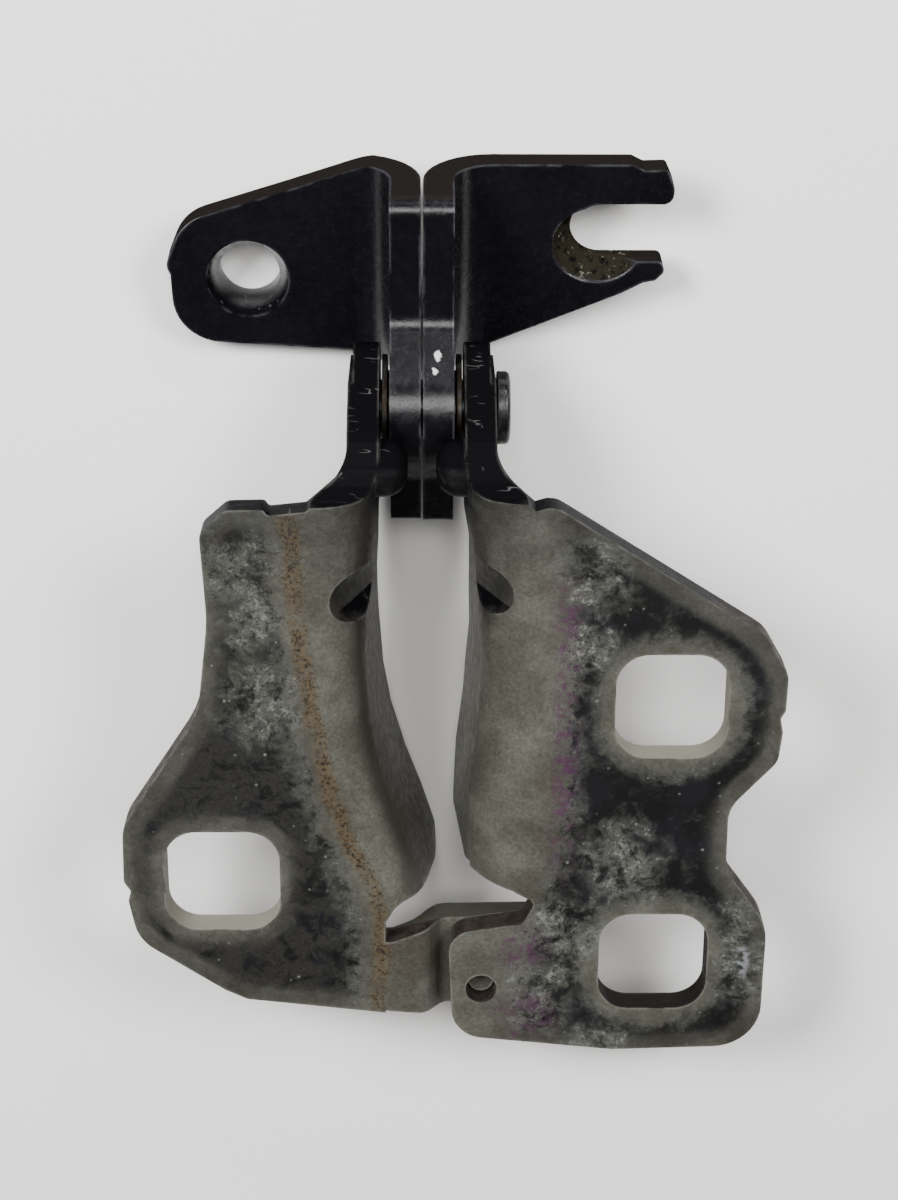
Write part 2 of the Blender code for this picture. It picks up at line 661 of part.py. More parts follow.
primer = olive_primer()
black = black_paint()
make_body_bracket_left(primer)
make_body_bracket_right(primer)
make_lid_arm_left(black)
make_lid_arm_right(black)
make_pivot_pin(pin_steel())
bronze = bush_bronze()
make_pivot_bush("pivot_bush_left", -1, bronze)
make_pivot_bush("pivot_bush_right", 1, bronze)
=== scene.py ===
"""Looks of the closure hinge: worn olive primer on the body brackets, gloss black on the lid arms.

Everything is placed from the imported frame. Materials work in millimetres from the middle of the
pin: X along the pin, Y towards the lid arms, Z out of the body brackets' mounting faces.
"""
import json
import math

import bpy
from mathutils import Matrix, Vector

MM = 0.001
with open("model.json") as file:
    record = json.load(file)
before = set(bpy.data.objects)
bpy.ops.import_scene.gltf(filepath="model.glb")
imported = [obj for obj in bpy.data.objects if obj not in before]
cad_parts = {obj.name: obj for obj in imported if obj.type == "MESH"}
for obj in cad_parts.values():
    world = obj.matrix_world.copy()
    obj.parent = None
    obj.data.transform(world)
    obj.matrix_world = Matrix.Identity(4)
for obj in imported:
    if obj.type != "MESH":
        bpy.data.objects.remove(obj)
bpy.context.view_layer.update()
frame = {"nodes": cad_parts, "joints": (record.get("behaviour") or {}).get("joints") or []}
PIN = Vector(frame["joints"][0]["pos_m"])

# Camera, from the middle of the pin
CAMERA_PLACE = (0.0, 86.6, 283.0)       # mm
CAMERA_TILT = math.radians(21.9)        # off straight down, towards -Y
CAMERA_PAN = math.radians(0.69)         # towards +X
CAMERA_LENS = 67.5

# The hinge lies on the corner of its lid arms and on the feet of its walls
REST_FRONT = (4.4, -17.75)              # (y, z) of the lid arms' lower corner, mm
REST_BACK = (-65.0, -4.75)              # (y, z) of the walls' feet, mm

FACE_Z = 20.0                           # mounting faces above the pin axis, mm
SHEET = 4.0                             # thickness of the stamped sheet, mm
ARM_TILT = math.radians(10.0)           # of the lid arms' flanges
LEFT_HOLE = (-26.4, -59.3)              # (x, y) of the body brackets' bolt holes, mm
UPPER_HOLE = (32.2, -34.0)
LOWER_HOLE = (31.1, -71.7)
ARM_FACE_W = -14.0                      # top of the lid arms' flanges, square to them, mm
LID_HOLE = (-23.2, 12.0)                # (x, v) along the lid arms' flanges, mm
SLOT_END = (23.75, 18.65)               # (x, v) of the round end of the slot, mm
LEFT_DART = (-9.4, -20.2, 12.5)         # middle of the pressed pockets, mm
RIGHT_DART = (9.4, -19.4, 12.5)

# Table top and surroundings
FLOOR_SIZE = 4.0                        # m
FLOOR_SHADE = (0.790, 0.770, 0.755)
FLOOR_TINT = (0.810, 0.795, 0.780)
WORLD_COLOUR = (0.86, 0.85, 0.84)
WORLD_STRENGTH = 0.11

# Lamps: name, direction from the pin, size in m, power in W
LIGHT_DISTANCE = 0.62                   # m
LIGHTS = [
    ("overhead", (0.0, 0.40, 0.92), 0.20, 1.8),
    ("softbox_left", (-0.52, 0.42, 0.74), 0.22, 6.4),
    ("softbox_right", (0.52, 0.42, 0.74), 0.22, 4.0),
    ("low_left", (-0.22, 0.90, 0.36), 0.06, 0.40),
    ("low_right", (0.22, 0.90, 0.36), 0.06, 0.40),
]


# ---------------------------------------------------------------- node graphs

class Graph:
    """A material's node tree, with short calls that make and link nodes."""

    def __init__(self, name):
        self.material = bpy.data.materials.new(name)
        self.material.use_nodes = True
        self.tree = self.material.node_tree
        self.shader = self.tree.nodes["Principled BSDF"]
        coords = self.tree.nodes.new("ShaderNodeTexCoord")
        from_pin = self.vector("SUBTRACT", coords.outputs["Object"], tuple(PIN))
        self.place = self.vector("SCALE", from_pin, scale=1.0 / MM)
        self.x, self.y, self.z = self.split(self.place)
        self.geometry = self.tree.nodes.new("ShaderNodeNewGeometry")
        turn = self.tree.nodes.new("ShaderNodeVectorTransform")
        turn.vector_type = "NORMAL"
        turn.convert_from = "WORLD"
        turn.convert_to = "OBJECT"
        self.tree.links.new(self.geometry.outputs["Normal"], turn.inputs[0])
        self.nx, self.ny, self.nz = self.split(turn.outputs[0])

    def feed(self, socket, value):
        if isinstance(value, bpy.types.NodeSocket):
            self.tree.links.new(value, socket)
        elif isinstance(value, tuple) and len(value) == 3 and socket.type == "RGBA":
            socket.default_value = (*value, 1.0)
        else:
            socket.default_value = value

    def split(self, vector):
        node = self.tree.nodes.new("ShaderNodeSeparateXYZ")
        self.feed(node.inputs[0], vector)
        return node.outputs[0], node.outputs[1], node.outputs[2]

    def join(self, x, y, z):
        node = self.tree.nodes.new("ShaderNodeCombineXYZ")
        for socket, value in zip(node.inputs, (x, y, z)):
            self.feed(socket, value)
        return node.outputs[0]

    def vector(self, operation, a, b=None, scale=None):
        node = self.tree.nodes.new("ShaderNodeVectorMath")
        node.operation = operation
        self.feed(node.inputs[0], a)
        if b is not None:
            self.feed(node.inputs[1], b)
        if scale is not None:
            self.feed(node.inputs["Scale"], scale)
        if operation in ("DISTANCE", "DOT_PRODUCT", "LENGTH"):
            return node.outputs["Value"]
        return node.outputs[0]

    def math(self, operation, a, b=None, c=None):
        node = self.tree.nodes.new("ShaderNodeMath")
        node.operation = operation
        for socket, value in zip(node.inputs, (a, b, c)):
            if value is not None:
                self.feed(socket, value)
        return node.outputs[0]

    def add(self, a, b):
        return self.math("ADD", a, b)

    def less(self, a, b):
        return self.math("SUBTRACT", a, b)

    def times(self, a, b):
        return self.math("MULTIPLY", a, b)

    def most(self, a, b):
        return self.math("MAXIMUM", a, b)

    def least(self, a, b):
        return self.math("MINIMUM", a, b)

    def invert(self, a):
        return self.math("SUBTRACT", 1.0, a)

    def step(self, value, low, high, to_low=0.0, to_high=1.0):
        """A smooth step from low to high; low may lie above high."""
        node = self.tree.nodes.new("ShaderNodeMapRange")
        node.interpolation_type = "SMOOTHSTEP"
        for socket, number in zip(node.inputs, (value, low, high, to_low, to_high)):
            self.feed(socket, number)
        return node.outputs[0]

    def noise(self, size, detail=3.0, rough=0.55, distortion=0.0, where=None):
        """Noise about 0.5, whose features measure about size mm."""
        node = self.tree.nodes.new("ShaderNodeTexNoise")
        self.feed(node.inputs["Vector"], self.place if where is None else where)
        node.inputs["Scale"].default_value = 1.0 / size
        node.inputs["Detail"].default_value = detail
        node.inputs["Roughness"].default_value = rough
        node.inputs["Distortion"].default_value = distortion
        return node.outputs[0]

    def cells(self, size):
        """Distance to the nearest of scattered points about size mm apart, in cells."""
        node = self.tree.nodes.new("ShaderNodeTexVoronoi")
        self.feed(node.inputs["Vector"], self.place)
        node.inputs["Scale"].default_value = 1.0 / size
        return node.outputs["Distance"]

    def blend(self, factor, a, b):
        node = self.tree.nodes.new("ShaderNodeMix")
        node.data_type = "RGBA"
        self.feed(node.inputs["Factor"], factor)
        self.feed(node.inputs[6], a)
        self.feed(node.inputs[7], b)
        return node.outputs[2]

    def blend_value(self, factor, a, b):
        """A plain mix of two numbers."""
        return self.add(self.times(self.invert(factor), a), self.times(factor, b))

    def curve(self, value, low, high, points, out_low, out_high):
        """A smooth curve through (value, result) points, for values from low to high."""
        node = self.tree.nodes.new("ShaderNodeFloatCurve")
        share = self.math("DIVIDE", self.less(value, low), high - low)
        self.feed(node.inputs["Value"], share)
        line = node.mapping.curves[0]
        spots = [((a - low) / (high - low), (b - out_low) / (out_high - out_low)) for a, b in points]
        while len(line.points) < len(spots):
            line.points.new(0.5, 0.5)
        for point, spot in zip(line.points, sorted(spots)):
            point.location = spot
        node.mapping.update()
        return self.math("MULTIPLY_ADD", node.outputs[0], out_high - out_low, out_low)

    def edge(self, radius):
        """0 on open faces, rising towards 0.3 within radius mm of a sharp edge."""
        node = self.tree.nodes.new("ShaderNodeBevel")
        node.samples = 4
        node.inputs["Radius"].default_value = radius * MM
        across = self.vector("DOT_PRODUCT", node.outputs[0], self.geometry.outputs["Normal"])
        return self.invert(across)

    def disc(self, centre):
        """Distance in mm from a point of the mounting plane, seen from above."""
        flat = self.join(self.x, self.y, 0.0)
        return self.vector("DISTANCE", flat, (centre[0], centre[1], 0.0))

    def bumps(self, layers):
        """Stacks (height, strength, depth in mm) layers and feeds the shader's normal."""
        normal = None
        for height, strength, depth in layers:
            node = self.tree.nodes.new("ShaderNodeBump")
            node.inputs["Strength"].default_value = strength
            node.inputs["Distance"].default_value = depth * MM
            self.feed(node.inputs["Height"], height)
            if normal is not None:
                self.feed(node.inputs["Normal"], normal)
            normal = node.outputs[0]
        self.feed(self.shader.inputs["Normal"], normal)

    def surface(self, colour, roughness, metallic, specular):
        self.feed(self.shader.inputs["Base Color"], colour)
        self.feed(self.shader.inputs["Roughness"], roughness)
        self.feed(self.shader.inputs["Metallic"], metallic)
        self.feed(self.shader.inputs["Specular IOR Level"], specular)
        return self.material


# ---------------------------------------------------------------- body brackets

OLIVE = (0.047, 0.0460, 0.0365)
OLIVE_PALE = (0.073, 0.073, 0.060)
OLIVE_BROWN = (0.036, 0.030, 0.023)
# painted shade for the left wall's steep part
WALL_PAINTED_SHADE = (0.022, 0.020, 0.015)
SOOT = (0.0034, 0.0033, 0.0036)
SOOT_BLUE = (0.0056, 0.0055, 0.0072)
SOOT_THIN = (0.0170, 0.0165, 0.0140)
CRUST = (0.165, 0.170, 0.152)
CRUST_DULL = (0.080, 0.082, 0.071)
BLACK = (0.0032, 0.0031, 0.0038)
# black paint dust; also painted shade in the dart's pocket
BLACK_DUST_AND_SHADE = (0.0090, 0.0085, 0.0080)
# bare primer on the bolt holes' walls, painted lighter as if lit from above
HOLE_WALL_PAINTED_LIGHT = (0.190, 0.182, 0.150)
CUT_EDGE = (0.026, 0.020, 0.018)
CUT_BROWN = (0.013, 0.010, 0.009)
RUST = (0.078, 0.048, 0.018)
RUST_HALO = (0.046, 0.036, 0.020)
RUST_DARK = (0.010, 0.006, 0.004)
PURPLE = (0.046, 0.013, 0.037)
SCRATCH = (0.10, 0.095, 0.095)
BARE_EDGE_AND_HIGHLIGHT = (0.20, 0.20, 0.18)
SMEAR = (0.20, 0.21, 0.22)


def primer(g):
    """Olive primer, a little mottled, with brown handling marks."""
    mottle = g.step(g.noise(7.0, 4.0, 0.6), 0.36, 0.66)
    colour = g.blend(mottle, OLIVE, OLIVE_PALE)
    brown = g.times(g.step(g.noise(11.0, 4.0, 0.55, 0.4), 0.50, 0.68), 0.6)
    colour = g.blend(brown, colour, OLIVE_BROWN)
    grain = g.step(g.noise(0.45, 4.0, 0.7), 0.30, 0.72, 0.72, 1.20)
    colour = g.vector("MULTIPLY", colour, g.join(grain, grain, grain))
    specks = g.times(g.step(g.cells(2.7), 0.12, 0.07), g.step(g.noise(3.0), 0.52, 0.60))
    return g.blend(g.times(specks, 0.55), colour, OLIVE_BROWN)


def mounting_face(g):
    """1 on the flat mounting face, 0 elsewhere."""
    return g.times(g.step(g.nz, 0.80, 0.97), g.step(g.z, FACE_Z - 1.0, FACE_Z - 0.3))


def stain_field(g, side, limit, rings):
    """Depth into the stain, in mm; the stain keeps off the sheared edges and bolt rings."""
    field = g.times(g.less(g.x, limit), float(side))
    for centre, radius in rings:
        field = g.least(field, g.times(g.less(g.disc(centre), radius), 1.4))
    margin = g.step(g.edge(5.4), 0.004, 0.080, 3.6, -3.2)
    field = g.least(field, margin)
    broad = g.times(g.less(g.noise(4.5, 3.0, 0.6, 0.5), 0.5), 4.0)
    ragged = g.times(g.less(g.noise(1.1, 6.0, 0.72, 0.4), 0.5), 5.5)
    return g.add(field, g.add(broad, ragged))


def bracket_material(name, side, wear, limit_points, rings, crust_zones, hole_walls, dart, extras):
    """Olive primer that carries a sooty stain on its mounting flange and black paint at its ear.

    side is -1 or 1 for the left or right bracket, wear thins the soot, limit_points give the
    stain's border as (y, x), rings are clean (centre, radius) round the bolt holes, crust_zones
    are (x, y, reach), and hole_walls give each bolt hole's wall colour.
    """
    g = Graph(name)
    colour = primer(g)
    on_face = mounting_face(g)
    limit = g.curve(g.y, -90.0, 0.0, limit_points, -40.0, 40.0)
    field = stain_field(g, side, limit, rings)
    fine = g.noise(0.36, 6.0, 0.80, 0.2)

    # soot: solid where it lies deep, worn thin in patches
    stain = g.times(g.step(field, -0.4, 0.7), on_face)
    soot = g.blend(g.step(g.noise(6.0, 2.0), 0.45, 0.6), SOOT, SOOT_BLUE)
    thin = g.step(g.add(g.noise(3.6, 6.0, 0.74, 0.5), wear), 0.50, 0.62)
    thin = g.times(thin, g.step(fine, 0.34, 0.58, 0.25, 1.0))
    soot = g.blend(thin, soot, SOOT_THIN)
    shadow = g.times(g.step(field, -2.2, -0.2), g.times(on_face, 0.45))
    colour = g.blend(shadow, colour, SOOT_THIN)
    colour = g.blend(g.times(stain, g.step(fine, 0.22, 0.36, 0.84, 1.0)), colour, soot)

    # pale crust: a ragged rim round the stain, and thick patches inside it
    zones = g.times(g.step(g.math("ABSOLUTE", g.less(field, 0.8)), 2.4, 0.2), 0.55)
    zone_shift = g.times(g.less(g.noise(4.0, 4.0, 0.65, 0.8), 0.5), 14.0)
    for x, y, reach in crust_zones:
        zones = g.most(zones, g.step(g.add(g.disc((x, y)), zone_shift), reach, reach * 0.30))
    clumps = g.noise(3.0, 6.0, 0.70, 0.4)
    density = g.add(g.times(g.less(clumps, 0.5), 0.9), g.times(g.less(zones, 1.0), 0.22))
    flakes = g.step(g.add(fine, density), 0.47, 0.60)
    crust = g.times(flakes, g.times(g.step(zones, 0.05, 0.35), on_face))
    haze = g.times(g.times(g.step(clumps, 0.36, 0.56), zones), g.times(on_face, 0.72))
    colour = g.blend(haze, colour, CRUST_DULL)
    crust_tone = g.blend(g.step(g.noise(0.9, 3.0), 0.4, 0.65), CRUST_DULL, CRUST)
    colour = g.blend(g.times(crust, 0.72), colour, crust_tone)
    pits = g.times(g.step(g.noise(0.7, 6.0, 0.78, 0.2), 0.47, 0.40), g.times(zones, on_face))
    colour = g.blend(g.times(pits, 0.70), colour, SOOT)

    # pale specks scattered on the soot
    speck = g.times(g.step(g.cells(1.9), 0.15, 0.07), g.times(stain, g.step(g.noise(2.1), 0.46, 0.58)))
    colour = g.blend(g.times(speck, 0.5), colour, CRUST)

    for mark, tint in extras(g):
        colour = g.blend(mark, colour, tint)

    # sheared edges, browned, along the flange's outline
    sheared = g.step(g.math("ABSOLUTE", g.nz), 0.45, 0.25)
    sheared = g.times(sheared, g.step(g.z, FACE_Z - SHEET - 0.3, FACE_Z - SHEET + 0.4))
    outward = g.step(g.times(g.x, float(side)), 9.0, 13.0)
    sheared = g.times(sheared, g.most(outward, g.step(g.ny, 0.2, 0.7)))
    edge_tone = g.blend(g.step(g.noise(1.4, 5.0, 0.65), 0.42, 0.60), CUT_EDGE, CUT_BROWN)
    colour = g.blend(g.times(sheared, 0.92), colour, edge_tone)

    # walls in the bolt holes, the bare ones painted lighter as if lit, one of them painted over black,
    # and painted shade in the dart's pocket
    upright = g.step(g.math("ABSOLUTE", g.nz), 0.55, 0.35)
    for centre, tint in hole_walls:
        wall = g.times(g.step(g.disc(centre), 10.4, 9.8), upright)
        colour = g.blend(g.times(wall, 0.85), colour, tint)
    gap = g.vector("DISTANCE", g.place, dart)
    # painted shade: the dart's pocket darkened towards black
    dart_painted_shade = g.step(g.add(gap, g.times(g.noise(2.0, 4.0, 0.6), 3.0)), 9.0, 4.2)
    colour = g.blend(g.times(dart_painted_shade, 0.92), colour, BLACK_DUST_AND_SHADE)

    # black paint round the pivot, which dusts out over the bends
    reach = g.vector("LENGTH", g.join(0.0, g.y, g.less(g.z, 2.0)))
    uneven = g.times(g.noise(3.0, 5.0, 0.65), 5.0)
    shoulder = g.times(g.step(g.ny, 0.15, 0.45), 11.0)
    paint = g.step(g.less(g.add(reach, uneven), shoulder), 19.4, 16.6)
    dusting = g.times(g.step(g.add(reach, g.times(uneven, 1.6)), 33.0, 18.0), 0.62)
    colour = g.blend(dusting, colour, BLACK_DUST_AND_SHADE)
    colour = g.blend(paint, colour, BLACK)
    streak = scratches(g, g.most(paint, g.times(dusting, 0.6)))
    colour = g.blend(streak, colour, SCRATCH)

    # edges rubbed pale, partly wear and partly a painted highlight along the rounded edges
    rub = g.times(g.step(g.edge(0.6), 0.03, 0.16), g.step(g.noise(2.8, 4.0, 0.55), 0.36, 0.60))
    colour = g.blend(g.times(rub, g.blend_value(paint, 0.5, 0.22)), colour, BARE_EDGE_AND_HIGHLIGHT)

    rough = g.step(g.noise(1.3, 4.0, 0.6), 0.3, 0.7, 0.40, 0.56)
    rough = g.blend_value(stain, rough, 0.62)
    rough = g.blend_value(paint, rough, g.step(fine, 0.3, 0.7, 0.34, 0.52))
    rough = g.most(rough, g.times(crust, 0.85))
    g.bumps([(g.noise(4.0, 3.0), 0.40, 0.30), (g.noise(0.30, 4.0, 0.7), 0.32, 0.05),
             (g.less(crust, g.times(pits, 0.8)), 0.7, 0.09), (stain, 0.30, 0.05), (streak, -0.5, 0.06)])
    gloss = g.blend_value(stain, 0.36, 0.14)
    gloss = g.blend_value(g.most(paint, dusting), gloss, g.step(g.ny, 0.02, 0.32, 0.16, 0.0))
    gloss = g.blend_value(sheared, gloss, 0.02)
    return g.surface(colour, rough, 0.0, gloss)


def scratches(g, where):
    """Fine handling scratches that run mostly across the pin."""
    stretched = g.join(g.times(g.x, 0.22), g.add(g.y, g.times(g.x, 0.12)), g.z)
    waves = g.noise(2.3, 2.0, 0.5, 0.0, stretched)
    lines = g.step(g.math("ABSOLUTE", g.less(waves, 0.5)), 0.010, 0.002)
    some = g.step(g.noise(3.2, 2.0), 0.53, 0.60)
    return g.times(g.times(lines, some), g.times(where, 0.6))


def left_extras(g):
    """The rust line along the fold, and painted shade on the wall where it turns down."""
    fold = g.curve(g.y, -90.0, 0.0,
                   [(-90.0, -5.8), (-76.0, -5.9), (-64.4, -5.4), (-51.6, -10.3), (-32.9, -14.5),
                    (-5.8, -17.0), (0.0, -17.5)], -40.0, 40.0)
    wander = g.math("MULTIPLY_ADD", g.noise(5.0, 4.0, 0.6), 2.2, -1.1)
    off = g.math("ABSOLUTE", g.add(g.less(g.x, fold), wander))
    band = g.times(g.step(off, 1.9, 0.3), g.step(g.nz, 0.3, 0.6))
    grains = g.step(g.noise(0.40, 5.0, 0.80, 0.3), 0.46, 0.58)
    lumps = g.step(g.noise(3.5, 3.0, 0.6), 0.34, 0.55, 0.35, 1.0)
    yield g.times(g.times(band, 0.55), lumps), RUST_HALO
    # painted shade: the left wall darkened where it turns down steeply
    yield g.times(g.step(g.x, -15.5, -8.5), g.times(g.step(g.nz, 0.80, 0.40), 0.80)), WALL_PAINTED_SHADE
    yield g.times(g.times(band, grains), g.times(lumps, 0.8)), RUST
    yield g.times(g.times(band, g.step(g.noise(0.45, 5.0, 0.80), 0.50, 0.42)), lumps), RUST_DARK


def right_extras(g):
    """Purple marking soaked along the stain's border and at the lower edge, and a pale smear."""
    column = g.times(g.step(g.math("ABSOLUTE", g.less(g.x, 18.6)), 2.6, 0.4),
                     g.times(g.step(g.y, -13.0, -22.0), g.step(g.y, -62.0, -50.0)))
    lower = g.most(g.step(g.disc((14.0, -80.5)), 6.0, 1.0), g.step(g.disc((13.5, -69.5)), 5.0, 1.0))
    soak = g.step(g.noise(1.5, 6.0, 0.75, 0.5), 0.44, 0.62)
    yield g.times(g.times(g.most(column, lower), soak), g.times(mounting_face(g), 0.85)), PURPLE
    from_smear = g.join(g.times(g.less(g.x, 43.2), 2.6), g.less(g.y, -71.5), 0.0)
    smear = g.step(g.vector("LENGTH", from_smear), 3.4, 1.2)
    yield g.times(smear, g.times(g.step(g.noise(0.9, 3.0), 0.40, 0.55), 0.7)), SMEAR


def left_bracket_paint():
    """The left bracket: thin soot, crust on its narrow end, and the rust line."""
    limit = [(-90.0, -9.0), (-74.0, -8.3), (-64.0, -8.8), (-56.0, -11.5), (-46.0, -14.6),
             (-30.0, -17.4), (-14.0, -19.6), (0.0, -20.5)]
    crust = [(-20.5, -33.0, 8.0), (-23.0, -14.0, 9.0), (-21.0, -22.0, 6.0)]
    return bracket_material("primer_left", -1, 0.10, limit, [(LEFT_HOLE, 7.6)], crust,
                            [(LEFT_HOLE, HOLE_WALL_PAINTED_LIGHT)], LEFT_DART, left_extras)


def right_bracket_paint():
    """The right bracket: solid soot round both holes, crust below, and the purple marking."""
    limit = [(-90.0, 15.0), (-80.0, 13.5), (-72.0, 15.0), (-64.0, 15.6), (-54.0, 18.2),
             (-36.0, 19.2), (-20.0, 19.3), (-8.0, 17.5), (0.0, 17.0)]
    crust = [(22.0, -16.0, 6.0), (21.5, -27.0, 5.0), (27.0, -57.0, 8.0), (42.5, -66.0, 5.5),
             (19.0, -67.0, 8.5), (15.0, -77.0, 8.0), (43.5, -73.0, 6.5), (24.0, -85.0, 6.0)]
    rings = [(UPPER_HOLE, 9.2), (LOWER_HOLE, 9.7)]
    walls = [(UPPER_HOLE, HOLE_WALL_PAINTED_LIGHT), (LOWER_HOLE, BLACK_DUST_AND_SHADE)]
    return bracket_material("primer_right", 1, -0.02, limit, rings, crust, walls,
                            RIGHT_DART, right_extras)


# ---------------------------------------------------------------- lid arms, pin and bushes

ARM_BLACK = (0.0022, 0.0020, 0.0031)
ARM_BLACK_BLUE = (0.0032, 0.0030, 0.0045)
ARM_DUST = (0.022, 0.024, 0.031)
ARM_RUB_AND_HIGHLIGHT = (0.10, 0.105, 0.12)
ARM_CUT = (0.0115, 0.0098, 0.0090)
CONE_RUB = (0.08, 0.085, 0.10)
SLOT_BARE = (0.017, 0.015, 0.010)
SLOT_GRIME = (0.004, 0.004, 0.004)
SLOT_PAINTED_GLINT = (0.16, 0.155, 0.135)
CHIP = (0.62, 0.62, 0.60)
PIN_DARK = (0.010, 0.010, 0.011)
PIN_GREY = (0.038, 0.039, 0.042)
PIN_RUB = (0.20, 0.20, 0.20)
BRONZE = (0.030, 0.021, 0.014)
GREASE = (0.007, 0.006, 0.006)


def arm_coordinates(g):
    """The arms' own axes: v along the flange, w square to it."""
    cos, sin = math.cos(ARM_TILT), math.sin(ARM_TILT)
    v = g.add(g.times(g.y, cos), g.times(g.z, sin))
    w = g.less(g.times(g.z, cos), g.times(g.y, sin))
    return v, w


def sheared_sides(g, w):
    """1 on the sheared sides of the arms' flanges and on the arms' far ends, 0 on their faces."""
    below = g.step(w, ARM_FACE_W + 0.2, ARM_FACE_W - 0.4)
    upright = g.step(g.math("ABSOLUTE", g.nz), 0.95, 0.80)
    along = g.add(g.times(g.ny, math.cos(ARM_TILT)), g.times(g.nz, math.sin(ARM_TILT)))
    return g.most(g.step(g.times(below, upright), 0.2, 0.8), g.step(along, 0.80, 0.95))


def arm_paint(name, marks, painted_hole):
    """Gloss black paint with an orange-peel skin, thin grey dust and rubbed edges, the rubbed edges
    partly a painted highlight.

    marks yields (share, colour, roughness) of worn spots and painted glints; painted_hole is the (x, v,
    radius) of a flared hole whose cone is painted too.
    """
    g = Graph(name)
    v, w = arm_coordinates(g)
    tone = g.step(g.noise(9.0, 3.0), 0.35, 0.65)
    colour = g.blend(tone, ARM_BLACK, ARM_BLACK_BLUE)
    dust = g.step(g.noise(6.0, 3.0), 0.40, 0.60, 0.15, 0.6)
    dust = g.times(g.step(g.noise(0.55, 5.0, 0.75), 0.55, 0.70), dust)
    colour = g.blend(g.times(dust, 0.22), colour, ARM_DUST)
    edge = g.step(g.edge(0.6), 0.03, 0.16)
    # rubbed edges, partly wear and partly a painted highlight along the rounded edges
    rub = g.times(edge, g.step(g.noise(3.4, 3.0, 0.5), 0.38, 0.62))
    sheared = sheared_sides(g, w)
    if painted_hole is not None:
        x, at, radius = painted_hole
        to_hole = g.vector("DISTANCE", g.join(g.x, v, 0.0), (x, at, 0.0))
        sheared = g.times(sheared, g.step(to_hole, radius, radius + 0.3))
    colour = g.blend(sheared, colour, ARM_CUT)
    colour = g.blend(g.times(rub, 0.50), colour, ARM_RUB_AND_HIGHLIGHT)
    rough = g.step(g.noise(1.2, 5.0, 0.65), 0.30, 0.72, 0.17, 0.32)
    rough = g.add(rough, g.times(dust, 0.20))
    if painted_hole is not None:
        rough = g.times(rough, g.step(to_hole, radius - 0.2, radius + 0.1, 0.45, 1.0))
    chips = None
    for mark, tint, dull in marks(g, v, w):
        colour = g.blend(mark, colour, tint)
        rough = g.blend_value(mark, rough, dull)
        chips = mark if chips is None else g.most(chips, mark)
    g.bumps([(g.noise(1.7, 2.0), 0.40, 0.10), (g.noise(0.30, 4.0, 0.70), 0.60, 0.045),
             (g.times(chips, g.noise(0.6, 5.0, 0.75)), 0.9, 0.25)])
    return g.surface(colour, rough, 0.0, g.blend_value(sheared, 0.40, 0.0))


def slot_wear_and_glints(g, v, w):
    """Olive-brown bare metal in the flare round the slot, with painted glints on it, and two white
    chips on the web.
    """
    gap = g.vector("DISTANCE", g.join(g.x, v, 0.0), (*SLOT_END, 0.0))
    uneven = g.times(g.less(g.noise(2.0, 4.0, 0.65), 0.5), 2.6)
    bare = g.times(g.step(g.add(gap, uneven), 7.4, 6.2), g.step(g.x, 28.5, 27.0))
    low = g.step(w, ARM_FACE_W - 0.02, ARM_FACE_W - 0.3)
    worn = g.times(g.times(bare, low), g.step(g.noise(1.0, 5.0, 0.7), 0.30, 0.52, 0.55, 1.0))
    yield worn, SLOT_BARE, 0.42
    dark = g.step(g.noise(1.3, 5.0, 0.7), 0.52, 0.60)
    yield g.times(g.times(bare, low), dark), SLOT_GRIME, 0.35
    # painted glints: bright specks put into the bare metal's colour
    painted_glint = g.times(g.times(bare, low), g.step(g.noise(0.9, 4.0, 0.7), 0.61, 0.66))
    yield painted_glint, SLOT_PAINTED_GLINT, 0.35
    for x, at, size in ((2.0, 8.6, 0.50), (1.7, 7.3, 0.36)):
        spot = g.vector("DISTANCE", g.join(g.x, v, 0.0), (x, at, 0.0))
        spot = g.add(spot, g.times(g.less(g.noise(0.7, 3.0), 0.5), 1.1))
        near = g.step(w, -3.0, -1.0)
        yield g.times(g.step(spot, size, size * 0.7), near), CHIP, 0.6


def hole_wear(g, v, w):
    """A few grey rub marks on the cone of the round hole."""
    gap = g.vector("DISTANCE", g.join(g.x, v, 0.0), (*LID_HOLE, 0.0))
    cone = g.times(g.step(gap, 5.7, 5.3), g.step(w, ARM_FACE_W - 0.02, ARM_FACE_W - 0.3))
    yield g.times(cone, g.step(g.noise(0.8, 4.0, 0.7), 0.62, 0.70)), CONE_RUB, 0.25


def pin_metal():
    """Dark painted steel with a turned sheen."""
    g = Graph("pin_dark_steel")
    rings = g.vector("LENGTH", g.join(0.0, g.y, g.z))
    turned = g.noise(0.25, 3.0, 0.6, 0.0, g.join(rings, rings, g.x))
    colour = g.blend(g.step(g.noise(1.2, 5.0, 0.7), 0.42, 0.62), PIN_DARK, PIN_GREY)
    rub = g.times(g.step(g.edge(0.5), 0.03, 0.15), g.step(g.noise(0.8, 4.0, 0.7), 0.42, 0.6))
    colour = g.blend(g.times(rub, 0.5), colour, PIN_RUB)
    g.bumps([(turned, 0.25, 0.03), (g.noise(0.5, 4.0), 0.3, 0.04)])
    return g.surface(colour, g.step(turned, 0.3, 0.7, 0.24, 0.42), 0.45, 0.5)


def bush_metal():
    """Dull sintered bronze, dark with old grease."""
    g = Graph("bush_bronze")
    grease = g.step(g.noise(1.6, 4.0, 0.65), 0.40, 0.60)
    colour = g.blend(grease, BRONZE, GREASE)
    g.bumps([(g.noise(0.3, 4.0, 0.7), 0.5, 0.05)])
    return g.surface(colour, g.step(grease, 0.0, 1.0, 0.50, 0.32), g.invert(grease), 0.5)


# ---------------------------------------------------------------- dressing the frame

WELD_GAP = 0.000002                     # m, vertices this near are one
FLAT_ANGLE = math.radians(0.6)          # facets this near to flat are one face
EDGE_ANGLE = math.radians(38.0)         # sharper edges than this are rounded


